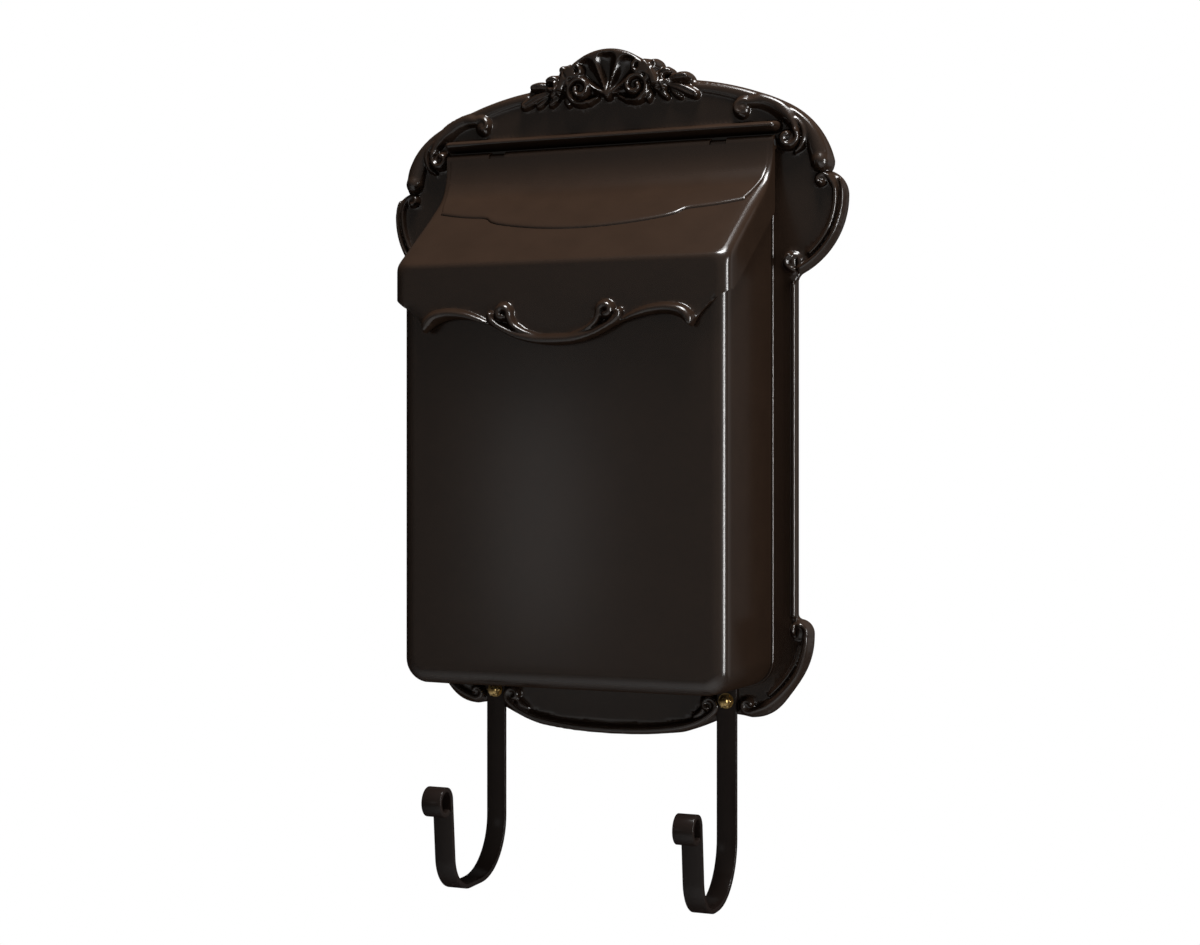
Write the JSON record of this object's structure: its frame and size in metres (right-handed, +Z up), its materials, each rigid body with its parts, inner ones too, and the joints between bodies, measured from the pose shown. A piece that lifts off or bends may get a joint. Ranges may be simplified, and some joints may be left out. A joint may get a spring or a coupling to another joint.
{
  "type": "wall mounted mailbox",
  "caption": "Ornate wall mailbox: cast back plate with scrolled edges and shell crest, drafted box, coved lid that lifts on a hidden hinge, and newspaper hooks below.",
  "frame": {"origin": "on the wall plane, at mid width and mid height of the back plate", "axes": "+X to the viewer's right, -Y out from the wall towards the viewer, +Z up"},
  "size_m": [0.2884, 0.0939, 0.4955],
  "materials": {
    "bronze_coat": "dark bronze satin powder coat on castings",
    "hook_black": "brown-black satin paint on bent steel bar",
    "brass": "bright brass",
    "steel": "zinc plated steel"
  },
  "bodies": {
    "root": {"back_plate": "bronze_coat", "box_body": "bronze_coat", "hinge_rod": "steel", "hook_left": "hook_black", "hook_right": "hook_black", "hook_bolts": "steel", "hook_washers": "brass", "hook_nuts": "brass", "box_screws": "steel"},
    "lid": {"lid": "bronze_coat"}
  },
  "joints": [
    {"name": "lid_hinge", "type": "hinge", "parent": "root", "child": "lid", "pos_m": [0, -0.0094, 0.1412], "axis": [-1, 0, 0], "range_deg": [0, 90]}
  ]
}
